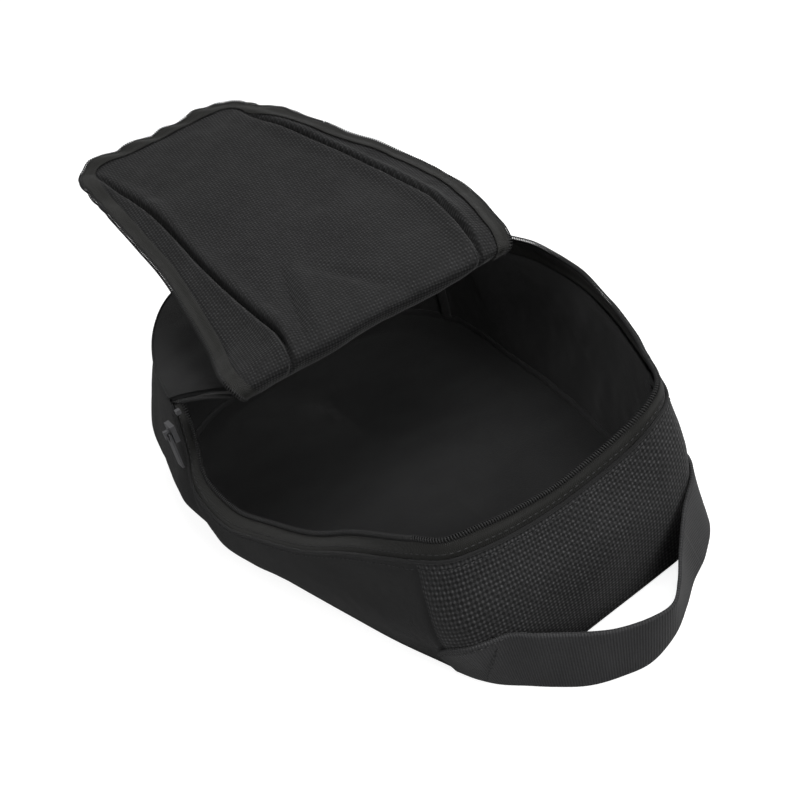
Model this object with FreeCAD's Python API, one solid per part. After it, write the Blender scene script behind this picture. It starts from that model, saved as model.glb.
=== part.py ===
import FreeCAD, Part
import math
import os

os.makedirs("parts", exist_ok=True)
V = FreeCAD.Vector

# Shoe bag lying on its base, unzipped, with the lid folded back over the toe.
# Millimetres. +X points to the heel end, which carries the handle, and +Z is up.
# The origin is the centre of the underside of the base.

# Body of the bag
body_length = 372.0
heel_half_width = 77.0
toe_half_width_base = 117.0
toe_half_width_top = 112.0
side_bulge_base = 5.0
side_bulge_middle = 18.0
side_bulge_top = 20.0
heel_corner_radius = 16.0
toe_corner_radius_base = 62.0
toe_corner_radius_top = 94.0
toe_rake = 4.0
top_height = 112.2
bulge_height = 55.0

# Fabric and trim thicknesses, and the gap left between neighbouring layers
shell_fabric = 1.6
lining_fabric = 0.8
board_thickness = 2.0
tape_thickness = 0.8
layer_gap = 0.3
moving_gap = 0.5
seam_gap = 0.3

# Opening: the zip runs round the heel and slopes down both sides to a low corner,
# then climbs steeply to the fixed top of the toe. The left wall has slumped and the
# right wall stands, so the two low corners differ in height.
heel_rim_height = 107.5
low_corner_x = -58.0
low_corner_height_left = 60.0
low_corner_height_right = 98.0
tape_width = 14.0
coil_width = 3.0
coil_height = 2.8

# Lid, which is a flat panel with a triangular gusset along each side
hinge_x = -20.0
lid_open_rise = 17.0
lid_overhang = 2.0
lid_half_width_hinge = 66.0
lid_half_width_heel = 72.0
lid_corner_radius = 30.0
gusset_depth = 45.0
gusset_end_x = 148.0
gusset_fold_angle = 45.0
fold_roll_radius = 11.0

# Handle webbing, sewn round both heel corners near the base
webbing_width = 38.0
webbing_thickness = 2.0
handle_end_foot = 4.0
handle_end_reach = 58.0
handle_bow = 38.0
handle_lean = 3.0
handle_loop_foot = 0.4
handle_axis_out = 4.0

# Zip slider and its pull
slider_length = 12.0
slider_width = 9.0
slider_thickness = 3.2
slider_drop = 10.0
bridge_height = 3.0
bridge_width = 2.4
pull_length = 24.0
pull_width = 7.0
pull_thickness = 1.4
stop_size = 3.0

# Bound seams inside the bag
binding_height = 9.0
binding_thickness = 1.0
seam_tape_width = 10.0

# Places worked out from the sizes above
heel_x = body_length / 2
toe_x = -body_length / 2
wall_foot = shell_fabric + layer_gap
board_foot = wall_foot
base_lining_foot = board_foot + board_thickness + layer_gap
lining_foot = base_lining_foot + lining_fabric + layer_gap
toe_wall_height = top_height - seam_gap
lining_inset = shell_fabric + layer_gap
tape_inset = lining_inset + lining_fabric + layer_gap
inner_face_inset = tape_inset + tape_thickness
hinge_z = top_height + shell_fabric + moving_gap + fold_roll_radius
lid_closing_angle = 180.0 - lid_open_rise
rim_level_x = heel_x - heel_corner_radius
far_y = 200.0


def write(name, shape):
    """Write one node and say what it holds."""
    shape.exportStep("parts/" + name + ".step")
    print(name, len(shape.Solids), round(shape.Volume, 1), shape.isValid())


def ring_outline(z, half_toe, toe_radius, bulge, toe_shift, inset):
    """Closed outline at height z: flat heel, bowed sides, rounded toe corners and a short flat toe."""
    xh = heel_x - inset
    xt = toe_x + toe_shift + inset
    wh = heel_half_width - inset
    wt = half_toe - inset
    rh = max(heel_corner_radius - inset, 1.0)
    rt = toe_radius - inset
    diagonal = math.sqrt(0.5)
    side_start = V(xh - rh, wh, z)
    side_end = V(xt + rt, wt, z)
    side_middle = (side_start + side_end) * 0.5 + V(0, bulge, 0)
    heel_mid = V(xh - rh + rh * diagonal, wh - rh + rh * diagonal, z)
    toe_mid = V(xt + rt - rt * diagonal, wt - rt + rt * diagonal, z)
    heel_start = V(xh, wh - rh, z)
    toe_start = V(xt, wt - rt, z)

    def mirrored(p):
        return V(p.x, -p.y, p.z)

    edges = [
        Part.LineSegment(mirrored(heel_start), heel_start).toShape(),
        Part.Arc(heel_start, heel_mid, side_start).toShape(),
        Part.Arc(side_start, side_middle, side_end).toShape(),
        Part.Arc(side_end, toe_mid, toe_start).toShape(),
        Part.LineSegment(toe_start, mirrored(toe_start)).toShape(),
        Part.Arc(mirrored(toe_start), mirrored(toe_mid), mirrored(side_end)).toShape(),
        Part.Arc(mirrored(side_end), mirrored(side_middle), mirrored(side_start)).toShape(),
        Part.Arc(mirrored(side_start), mirrored(heel_mid), mirrored(heel_start)).toShape(),
    ]
    return Part.Wire(edges)


def outline_at(level, inset):
    """Outline of the body at its base, its widest height or its top, moved inwards by inset."""
    if level == "base":
        sizes = (0.0, toe_half_width_base, toe_corner_radius_base, side_bulge_base, toe_rake)
    elif level == "middle":
        half_toe = (toe_half_width_base + toe_half_width_top) / 2 + 2.0
        radius = (toe_corner_radius_base + toe_corner_radius_top) / 2
        sizes = (bulge_height, half_toe, radius, side_bulge_middle, 0.0)
    else:
        sizes = (top_height, toe_half_width_top, toe_corner_radius_top, side_bulge_top, 0.0)
    return ring_outline(*sizes, inset)


def body_form(inset):
    """Solid form of the whole body from base to top, moved inwards by inset."""
    wires = [outline_at(level, inset) for level in ("base", "middle", "top")]
    return Part.makeLoft(wires, True, True)


def skin(outer_inset, inner_inset):
    """Ring of fabric between two insets of the body form."""
    return body_form(outer_inset).cut(body_form(inner_inset))


def block(x0, x1, y0, y1, z0, z1):
    return Part.makeBox(x1 - x0, y1 - y0, z1 - z0, V(x0, y0, z0))


def side_profile(points, side):
    """Prism over one half of the bag's width with the given outline in X and Z."""
    corners = [V(x, 0, z) for x, z in points]
    face = Part.Face(Part.makePolygon(corners + corners[:1]))
    return face.extrude(V(0, side * far_y, 0))


def rim_height(x, low_corner_height):
    """Height of the cut edge of a wall along the sloping part of the zip, level past the heel."""
    slope = (heel_rim_height - low_corner_height) / (rim_level_x - low_corner_x)
    return low_corner_height + slope * (min(x, rim_level_x) - low_corner_x)


def under_rim(rise, foot):
    """Everything between a foot height and the rim line, with the rim moved by rise."""
    far = heel_x + 20.0
    halves = []
    for side, low in ((-1, low_corner_height_left), (1, low_corner_height_right)):
        points = [
            (far, foot),
            (far, rim_height(far, low) + rise),
            (rim_level_x, rim_height(rim_level_x, low) + rise),
            (low_corner_x + rise, rim_height(low_corner_x + rise, low) + rise),
            (low_corner_x + rise, toe_wall_height),
            (toe_x - 20.0, toe_wall_height),
            (toe_x - 20.0, foot),
        ]
        halves.append(side_profile(points, side))
    return halves[0].fuse(halves[1]).removeSplitter()


def along_rim(low, high):
    """Band that follows the rim round the opening, between two distances from it."""
    band = under_rim(high, 0.0).cut(under_rim(low, -1.0))
    return band.common(block(low_corner_x - 60.0, heel_x + 20.0, -200, 200, 0, toe_wall_height))


# Walls: the shell is cut into four panels that meet at the seams
toe_seam_x = toe_x + toe_corner_radius_base + 8.0
heel_seam_x = heel_x - heel_corner_radius - 6.0
panel_regions = {
    "heel_panel": block(heel_seam_x + seam_gap, heel_x + 20, -far_y, far_y, 0, top_height),
    "side_panel_left": block(toe_seam_x + seam_gap, heel_seam_x, -far_y, -1, 0, top_height),
    "side_panel_right": block(toe_seam_x + seam_gap, heel_seam_x, 1, far_y, 0, top_height),
    "toe_panel": block(toe_x - 20, toe_seam_x, -far_y, far_y, 0, top_height),
}
shell = skin(0.0, shell_fabric).common(under_rim(0.0, wall_foot))
for name, region in panel_regions.items():
    write(name, shell.common(region))

lining_regions = {
    "heel_lining": panel_regions["heel_panel"],
    "side_lining_left": panel_regions["side_panel_left"],
    "side_lining_right": panel_regions["side_panel_right"],
    "toe_lining": panel_regions["toe_panel"],
}
lining = skin(lining_inset, lining_inset + lining_fabric).common(under_rim(-2.0, lining_foot))
lining = lining.common(block(toe_x, heel_x, -far_y, far_y, 0, toe_wall_height - lining_fabric - layer_gap))
for name, region in lining_regions.items():
    write(name, lining.common(region))


# Base: outer fabric, stiffening board and lining, stacked flat
def base_layer(inset, foot, thickness):
    return Part.Face(outline_at("base", inset)).extrude(V(0, 0, thickness)).translated(V(0, 0, foot))


write("base_panel", base_layer(0.0, 0.0, shell_fabric))
write("base_board", base_layer(inner_face_inset + 1.0, board_foot, board_thickness))
write("base_lining", base_layer(lining_inset + 2 * layer_gap, base_lining_foot, lining_fabric))

# Bound seam allowance that runs round the foot of the walls inside
binding_form = skin(inner_face_inset, inner_face_inset + binding_thickness)
binding_zone = block(toe_x, heel_x, -far_y, far_y, lining_foot, lining_foot + binding_height)
write("base_seam_binding", binding_form.common(binding_zone))


# Tapes that cover the four upright seams inside
def upright_tape(x, side):
    tape = skin(inner_face_inset + layer_gap, inner_face_inset + layer_gap + binding_thickness)
    low = lining_foot + binding_height + layer_gap
    y0, y1 = (1.0, far_y) if side > 0 else (-far_y, -1.0)
    high = toe_wall_height - lining_fabric - 2 * layer_gap
    zone = block(x - seam_tape_width / 2, x + seam_tape_width / 2, y0, y1, low, high)
    return tape.common(zone).common(under_rim(-tape_width - 2.0, 0.0))


write("seam_tape_heel", Part.makeCompound([upright_tape(heel_seam_x - 4.0, s) for s in (-1, 1)]))
write("seam_tape_toe", Part.makeCompound([upright_tape(toe_seam_x, s) for s in (-1, 1)]))

# Fixed top of the toe and its lining
top_face = Part.Face(outline_at("top", 0.0))
toe_zone = block(toe_x - 20, hinge_x - moving_gap, -far_y, far_y, top_height - 1, top_height + shell_fabric + 1)
toe_top_limit = block(toe_x - 20, low_corner_x - seam_gap, -far_y, far_y, 0, 200)
crown_limit = block(toe_x - 20, hinge_x - moving_gap, -lid_half_width_hinge, lid_half_width_hinge, 0, 200)
top_sheet = top_face.extrude(V(0, 0, shell_fabric)).common(toe_zone)
write("toe_top_panel", top_sheet.common(toe_top_limit.fuse(crown_limit)))
lining_sheet = Part.Face(outline_at("top", inner_face_inset)).extrude(V(0, 0, lining_fabric))
lining_sheet = lining_sheet.common(toe_top_limit.fuse(crown_limit))
write("toe_top_lining", lining_sheet.translated(V(0, 0, -lining_fabric - layer_gap)))


# Corner gores: slanting triangles that join the toe top to the low corner of the opening
def corner_gore(side):
    rear = low_corner_x + coil_width + 4.0
    front = hinge_x - 2.0
    crown_y = side * (lid_half_width_hinge + seam_gap + 0.5)
    rear_y = side * (toe_half_width_top - inner_face_inset - 6.0)
    top = top_height + shell_fabric / 2
    corners = [V(rear, rear_y, top), V(rear, crown_y, top), V(front, crown_y, top)]
    drop = V(0, 0, -shell_fabric / 2)
    face = Part.Face(Part.makePolygon([p + drop for p in corners] + [corners[0] + drop]))
    return face.extrude(V(0, 0, shell_fabric))


write("corner_gore_left", corner_gore(-1))
write("corner_gore_right", corner_gore(1))

# Zip on the body: tape inside the rim, coil along its edge and a stop at each end
write("rim_zip_tape", skin(tape_inset, inner_face_inset).common(along_rim(-tape_width, -0.5)))
coil_ring = skin(0.4, 0.4 + coil_width)
write("rim_zip_coil", coil_ring.common(along_rim(layer_gap, layer_gap + coil_height)))


def wall_point(x, z, outset):
    """Point on the left wall's outer face, pushed out of the bag by outset."""
    probe = Part.makeLine(V(x, -far_y, z), V(x, 0, z))
    touch = body_form(0.0).common(probe)
    return V(x, touch.BoundBox.YMin - outset, z)


# Slider on the steep stretch of the left side, with a bridge and a hanging pull
slider_x = low_corner_x
slider_top = toe_wall_height - slider_drop
upper = wall_point(slider_x, slider_top, 0.0)
lower = wall_point(slider_x, slider_top - slider_length, 0.0)
travel_end = wall_point(slider_x, low_corner_height_left + slider_length / 2, 0.0)
down = (travel_end - upper).normalize()
out = V(1, 0, 0).cross(down).normalize()
if out.y > 0:
    out = out * -1.0
slider_centre = upper + down * (slider_length / 2)


def slab(centre, along, across, normal, length, width, thickness, lift):
    """Plate standing lift above the wall, with its length along the first direction."""
    a = along * (length / 2)
    b = across * (width / 2)
    c = centre + normal * lift
    loop = [c - a - b, c + a - b, c + a + b, c - a + b, c - a - b]
    return Part.Face(Part.makePolygon(loop)).extrude(normal * thickness)


sideways = V(1, 0, 0)
wall_clearance = 0.6
slider_plate = slab(slider_centre, down, sideways, out, slider_length, slider_width,
                    slider_thickness, wall_clearance)
write("zip_slider", slider_plate)
bridge_lift = wall_clearance + slider_thickness
pin_radius = 0.7
pin_centre = slider_centre + out * (bridge_lift + pin_radius + 0.6)
leg = slab(slider_centre - down * 2.2, down, sideways, out, 1.4, bridge_width, bridge_height, bridge_lift)
leg_low = slab(slider_centre + down * 2.2, down, sideways, out, 1.4, bridge_width, bridge_height, bridge_lift)
cap = slab(slider_centre, down, sideways, out, 5.8, bridge_width, 0.9, bridge_lift + bridge_height)
write("slider_bridge", leg.fuse(leg_low).fuse(cap).removeSplitter())

pull_start = pin_centre
pull_pin = Part.makeCylinder(pin_radius, pull_width, pull_start - sideways * (pull_width / 2), sideways)
pull_plate_length = pull_length - 4.0
eye_side = (pull_width - bridge_width) / 2 - 0.5
arm_offset = sideways * (pull_width / 2 - eye_side / 2)
arm_centre = pull_start + down * 2.6 - out * (pull_thickness / 2)
arms = [slab(arm_centre + s * arm_offset, down, sideways, out, 5.2, eye_side, pull_thickness, 0.0)
        for s in (-1, 1)]
blade_centre = pull_start + down * (5.2 + pull_plate_length / 2) - out * (pull_thickness / 2)
blade = slab(blade_centre, down, sideways, out, pull_plate_length, pull_width, pull_thickness, 0.0)
write("zip_pull", pull_pin.fuse(arms[0]).fuse(arms[1]).fuse(blade).removeSplitter())


def zip_stop(side):
    wall = wall_point(low_corner_x + coil_width, toe_wall_height - 3.0, 0.0)
    y = side * (abs(wall.y) - 3.4)
    x = low_corner_x + layer_gap + coil_height + 0.2
    return block(x, x + stop_size, min(y, y - stop_size * side), max(y, y - stop_size * side),
                 toe_wall_height - 4.0, toe_wall_height - 4.0 + stop_size)


write("zip_end_stops", Part.makeCompound([zip_stop(-1), zip_stop(1)]))

# Handle: two webbing ends sewn round the heel corners, and the free loop between them
ends = skin(-layer_gap - webbing_thickness, -layer_gap)


def handle_end(side):
    y0, y1 = (handle_end_reach, far_y) if side > 0 else (-far_y, -handle_end_reach)
    zone = block(heel_seam_x - 12.0, heel_x + 20, y0, y1, handle_end_foot, handle_end_foot + webbing_width)
    return ends.common(zone)


write("handle_end_left", handle_end(-1))
write("handle_end_right", handle_end(1))

handle_axis = V(heel_x + handle_axis_out, 0, handle_end_foot + webbing_width)
handle_stations = 13


def handle_section(share):
    """Upright cross-section of the loop, which stands on its edge, at a share of its half span."""
    y = share * (handle_end_reach - seam_gap)
    bow = 1.0 - abs(share) ** 2.4
    face_x = heel_x + layer_gap + webbing_thickness + layer_gap + handle_bow * bow
    foot = V(face_x, y, handle_loop_foot)
    crown = V(face_x + handle_lean * bow, y, handle_loop_foot + webbing_width)
    out = V(webbing_thickness, 0, 0)
    return Part.makePolygon([foot, foot + out, crown + out, crown, foot])


shares = [-1.0 + 2.0 * i / (handle_stations - 1) for i in range(handle_stations)]
write("handle_strap", Part.makeLoft([handle_section(s) for s in shares], True, True))


# Lid: drawn closed and flat, then opened about the hinge line
def opened(shape):
    return shape.rotated(V(hinge_x, 0, hinge_z), V(0, 1, 0), -lid_closing_angle)


def lid_outline(grow, z):
    """Lid panel in its closed place, with its outline moved outwards by grow."""
    end_x = heel_x + lid_overhang + grow
    wide = lid_half_width_heel + grow
    narrow = lid_half_width_hinge + grow
    radius = lid_corner_radius + grow
    diagonal = radius * math.sqrt(0.5)
    corner = V(end_x - radius + diagonal, wide - radius + diagonal, z)
    corner_m = V(corner.x, -corner.y, z)
    a = V(hinge_x, narrow, z)
    b = V(end_x - radius, wide, z)
    c = V(end_x, wide - radius, z)
    a_m, b_m, c_m = (V(p.x, -p.y, z) for p in (a, b, c))
    edges = [
        Part.LineSegment(a_m, a).toShape(),
        Part.LineSegment(a, b).toShape(),
        Part.Arc(b, corner, c).toShape(),
        Part.LineSegment(c, c_m).toShape(),
        Part.Arc(c_m, corner_m, b_m).toShape(),
        Part.LineSegment(b_m, a_m).toShape(),
    ]
    return Part.Face(Part.Wire(edges))


def lid_layer(grow, foot, thickness):
    return lid_outline(grow, foot).extrude(V(0, 0, thickness))


write("lid_panel", opened(lid_layer(0.0, top_height, shell_fabric)))
lid_tape_foot = top_height - layer_gap - tape_thickness
lid_front = block(gusset_end_x - 4.0, heel_x + 40, -far_y, far_y, 0, 200)
lid_tape = lid_layer(0.0, lid_tape_foot, tape_thickness).cut(lid_layer(-tape_width, 0.0, 200.0))
write("lid_zip_tape", opened(lid_tape.common(lid_front)))
lid_coil = lid_layer(coil_width + layer_gap, lid_tape_foot - 0.4, coil_height)
lid_coil = lid_coil.cut(lid_layer(layer_gap, 0.0, 200.0))
coil_front = block(gusset_end_x + coil_width, heel_x + 40, -far_y, far_y, 0, 200)
write("lid_zip_coil", opened(lid_coil.common(coil_front)))


# Seam tapes along the creases between the lid panel and its gussets
def crease_point(x, side, inset, z):
    share = (x - hinge_x) / (heel_x + lid_overhang - lid_corner_radius - hinge_x)
    half = lid_half_width_hinge + (lid_half_width_heel - lid_half_width_hinge) * share
    return V(x, side * (half - inset), z)


def flat_piece(points, thickness):
    face = Part.Face(Part.makePolygon(points + points[:1]))
    return face.extrude(V(0, 0, thickness))


def crease_tape(side):
    foot = lid_tape_foot
    near = hinge_x + 1.0
    far = gusset_end_x - 4.0 - layer_gap
    points = [
        crease_point(near, side, 1.0, foot),
        crease_point(far, side, 1.0, foot),
        crease_point(far, side, 1.0 + seam_tape_width, foot),
        crease_point(near, side, 1.0 + seam_tape_width, foot),
    ]
    return flat_piece(points, tape_thickness)


write("lid_crease_tape_left", opened(crease_tape(-1)))
write("lid_crease_tape_right", opened(crease_tape(1)))


# Gussets: flat triangles outside the creases, each with its own stretch of zip
def gusset_outline(side, near_inset, edge_inset, foot):
    near = crease_point(hinge_x + 2.0, side, near_inset, foot)
    far = crease_point(gusset_end_x, side, near_inset, foot)
    outer = crease_point(hinge_x + 2.0, side, -gusset_depth + edge_inset, foot)
    tip = crease_point(gusset_end_x, side, -2.5 + min(edge_inset, 2.0), foot)
    return [near, far, tip, outer]


def gusset_panel(side):
    return flat_piece(gusset_outline(side, -moving_gap, 0.0, top_height), shell_fabric)


def gusset_tape(side):
    outer = crease_point(hinge_x + 3.0, side, -gusset_depth + 0.5, lid_tape_foot)
    tip = crease_point(gusset_end_x - 30.0, side, -10.0, lid_tape_foot)
    along = (tip - outer).normalize()
    inwards = V(along.y, -along.x, 0) * (1 if side > 0 else -1)
    width = inwards * tape_width
    points = [outer, tip, tip + width * 0.5, outer + width + along * 2.0]
    return flat_piece(points, tape_thickness)


def gusset_coil(side):
    outer = crease_point(hinge_x + 2.0, side, -gusset_depth - layer_gap, lid_tape_foot - 0.4)
    tip = crease_point(gusset_end_x - 4.0, side, -4.5 - layer_gap, lid_tape_foot - 0.4)
    along = (tip - outer).normalize()
    outwards = V(along.y, -along.x, 0) * (-1 if side > 0 else 1)
    points = [outer, tip, tip + outwards * coil_width, outer + outwards * coil_width]
    return flat_piece(points, coil_height)


for side, word in ((-1, "left"), (1, "right")):
    write("lid_gusset_" + word, opened(gusset_panel(side)))
    write("gusset_zip_tape_" + word, opened(gusset_tape(side)))
    write("gusset_zip_coil_" + word, opened(gusset_coil(side)))

# Roll of fabric at the hinge line, standing on the front edge of the toe top
roll_outer = Part.makeCylinder(fold_roll_radius, 2 * lid_half_width_hinge - 4.0,
                               V(hinge_x, -lid_half_width_hinge + 2.0, hinge_z), V(0, 1, 0))
roll_inner = Part.makeCylinder(fold_roll_radius - shell_fabric, 2 * lid_half_width_hinge,
                               V(hinge_x, -lid_half_width_hinge, hinge_z), V(0, 1, 0))
roll_front = block(hinge_x - 6.0, hinge_x + 20, -far_y, far_y, hinge_z - 20, hinge_z + 20)
write("lid_fold_roll", roll_outer.cut(roll_inner).common(roll_front))

# Joint lines, printed for the record
fold_near = crease_point(hinge_x, 1, -moving_gap / 2, top_height)
fold_far = crease_point(gusset_end_x, 1, -moving_gap / 2, top_height)
print("lid hinge", hinge_x, hinge_z, "closing angle", lid_closing_angle)
opening = FreeCAD.Rotation(V(0, 1, 0), -lid_closing_angle)
pivot = V(hinge_x, 0, hinge_z)
for side, word in ((-1, "left"), (1, "right")):
    near = V(fold_near.x, side * abs(fold_near.y), fold_near.z)
    far = V(fold_far.x, side * abs(fold_far.y), fold_far.z)
    axis = opening.multVec((far - near).normalize())
    print("gusset", word, "pos", pivot + opening.multVec(near - pivot), "axis", axis)
print("slider centre", slider_centre, "down", down, "travel", (travel_end - slider_centre).Length)
print("pull pin", pin_centre, "out", out)
print("handle axis", handle_axis)
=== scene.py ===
import math

import bpy
import numpy as np
from mathutils import Matrix, Vector, noise


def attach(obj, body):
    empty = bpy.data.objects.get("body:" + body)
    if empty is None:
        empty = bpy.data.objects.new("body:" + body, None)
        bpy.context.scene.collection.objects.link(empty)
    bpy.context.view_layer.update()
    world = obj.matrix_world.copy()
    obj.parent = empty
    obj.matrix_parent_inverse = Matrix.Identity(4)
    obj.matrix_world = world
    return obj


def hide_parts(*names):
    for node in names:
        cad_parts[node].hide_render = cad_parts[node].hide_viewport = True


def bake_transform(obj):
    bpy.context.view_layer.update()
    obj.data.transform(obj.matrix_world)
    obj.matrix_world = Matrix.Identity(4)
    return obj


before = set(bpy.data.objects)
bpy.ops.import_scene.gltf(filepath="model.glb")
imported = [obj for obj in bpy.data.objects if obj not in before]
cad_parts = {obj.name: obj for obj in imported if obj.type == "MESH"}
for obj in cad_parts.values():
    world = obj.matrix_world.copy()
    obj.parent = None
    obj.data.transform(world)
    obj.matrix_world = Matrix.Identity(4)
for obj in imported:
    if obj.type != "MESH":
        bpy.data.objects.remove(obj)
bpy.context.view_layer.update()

# Studio: a pale floor and soft light from above and from the heel side.
# Sizes are in metres here, and the camera looks down on the heel from the left.
white = (1.0, 1.0, 1.0, 1.0)
floor_colour = (0.62, 0.62, 0.62, 1.0)
floor_half_size = 4.0
floor_glow = 0.80
floor_bounce = (0.20, 0.20, 0.20, 1.0)
sky_light = 0.28


class Thread:
    """One socket of a material. Arithmetic on threads adds Math nodes."""

    def __init__(self, tree, socket):
        self.tree = tree
        self.socket = socket

    def node(self, kind, settings=(), output=0, **sockets):
        """Any node: its settings first, then the values or links of its sockets."""
        made = self.tree.nodes.new(kind)
        for key, value in dict(settings).items():
            if key == "stops":
                ramp = made.color_ramp.elements
                for element, (place, grey) in zip(ramp, value):
                    element.position = place
                    element.color = (grey, grey, grey, 1.0)
            else:
                setattr(made, key, value)
        for key, value in sockets.items():
            name = key.replace("_", " ")
            socket = made.inputs[int(key[1:])] if key[1:].isdigit() else made.inputs[name]
            if isinstance(value, Thread):
                self.tree.links.new(value.socket, socket)
            else:
                socket.default_value = value
        return Thread(self.tree, made.outputs[output])

    def math(self, operation, *others):
        inputs = {f"_{i}": value for i, value in enumerate((self,) + others)}
        return self.node("ShaderNodeMath", {"operation": operation}, **inputs)

    def __add__(self, other):
        return self.math("ADD", other)

    def __mul__(self, other):
        return self.math("MULTIPLY", other)

    def __sub__(self, other):
        return self.math("SUBTRACT", other)

    def __rsub__(self, other):
        return (self * -1.0) + other

    __radd__ = __add__
    __rmul__ = __mul__

    def sine(self):
        return self.math("SINE")

    def between(self, low, high):
        """0 below low, 1 above high, smooth in between."""
        return self.node("ShaderNodeMapRange", {"interpolation_type": "SMOOTHSTEP"},
                         Value=self, From_Min=low, From_Max=high)

    def tint(self, dark, light):
        """Colour between dark and light by this value."""
        return self.node("ShaderNodeMix", {"data_type": "RGBA"}, output=2, _0=self, _6=dark, _7=light)


def new_material(name):
    """Empty material with a Principled shader; gives the material, a starting thread and the shader."""
    material = bpy.data.materials.new(name)
    material.use_nodes = True
    tree = material.node_tree
    shader = tree.nodes["Principled BSDF"]
    return material, Thread(tree, shader.outputs[0]), shader


def plug(thread, shader, socket):
    thread.tree.links.new(thread.socket, shader.inputs[socket])


floor_material, tree, shader = new_material("studio_floor")
shader.inputs["Base Color"].default_value = floor_colour
shader.inputs["Roughness"].default_value = 0.9
shader.inputs["Specular IOR Level"].default_value = 0.1
seen = tree.node("ShaderNodeLightPath", output=0)
glow = tree.node("ShaderNodeEmission", Color=white, Strength=floor_glow)
lit = tree.node("ShaderNodeAddShader", _0=tree, _1=glow)
dull = tree.node("ShaderNodeBsdfDiffuse", Color=floor_bounce)
surface = tree.node("ShaderNodeMixShader", _0=seen, _1=dull, _2=lit)
tree.tree.links.new(surface.socket, tree.tree.nodes["Material Output"].inputs["Surface"])

floor_mesh = bpy.data.meshes.new("studio_floor")
corners = [(-1, -1), (1, -1), (1, 1), (-1, 1)]
floor_points = [(x * floor_half_size, y * floor_half_size, 0.0) for x, y in corners]
floor_mesh.from_pydata(floor_points, [], [(0, 1, 2, 3)])
floor = bpy.data.objects.new("studio_floor", floor_mesh)
floor.data.materials.append(floor_material)
bpy.context.collection.objects.link(floor)

world = bpy.data.worlds.new("studio")
bpy.context.scene.world = world
world.use_nodes = True
backdrop = world.node_tree.nodes["Background"]
sky = Thread(world.node_tree, backdrop.outputs[0])
seen = sky.node("ShaderNodeLightPath", output=0)
sky.tree.links.new((seen * (1.0 - sky_light) + sky_light).socket, backdrop.inputs["Strength"])
backdrop.inputs["Color"].default_value = white


def softbox(name, place, aim, size, power):
    """Square area lamp that faces a point."""
    lamp = bpy.data.lights.new(name, "AREA")
    lamp.size = size
    lamp.energy = power
    holder = bpy.data.objects.new(name, lamp)
    holder.location = place
    holder.rotation_euler = (Vector(aim) - Vector(place)).to_track_quat("-Z", "Y").to_euler()
    bpy.context.collection.objects.link(holder)


softbox("overhead", (0.30, 0.45, 1.4), (0, 0, 0.05), 0.8, 11.5)
softbox("heel_side", (1.35, 0.10, 0.75), (0.05, 0, 0.08), 0.6, 11.5)
softbox("toe_side", (-0.3, -1.3, 0.8), (-0.1, 0, 0.08), 0.6, 4.0)

azimuth, elevation, roll = (math.radians(angle) for angle in (67.8, 36.0, -20.6))
camera_distance = 0.880
camera_target = Vector((-0.003, 0.007, 0.060))
back = Vector((math.sin(azimuth) * math.cos(elevation), -math.cos(azimuth) * math.cos(elevation),
               math.sin(elevation)))
level_right = Vector((math.cos(azimuth), math.sin(azimuth), 0.0))
level_up = back.cross(level_right)
right = level_right * math.cos(roll) + level_up * math.sin(roll)
up = level_up * math.cos(roll) - level_right * math.sin(roll)
camera = bpy.data.objects.new("camera", bpy.data.cameras.new("camera"))
camera.data.lens = 63.0
camera.data.sensor_width = 36.0
turn = Matrix((right, up, back)).transposed().to_4x4()
camera.matrix_world = Matrix.Translation(camera_target + back * camera_distance) @ turn
bpy.context.collection.objects.link(camera)
bpy.context.scene.camera = camera
bpy.context.scene.view_settings.view_transform = "Standard"

# Walls of the bag: plain black polyester at the sides and toe, a dotted dobby cloth at the heel.
# The panels are cut from one soft lofted form; the left wall has slumped out and the right one stands.
# The bag's shapes are in millimetres; materials, a few distances off the middle line and the studio are in
# metres.
millimetre = 0.001
shell_skin = 1.1
thread_pitch = 0.0009
heel_seam, right_zip_corner, toe_seam_right = 4, 10, 12
toe_seam_left, left_zip_corner, heel_seam_left = 18, 20, 28

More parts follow.
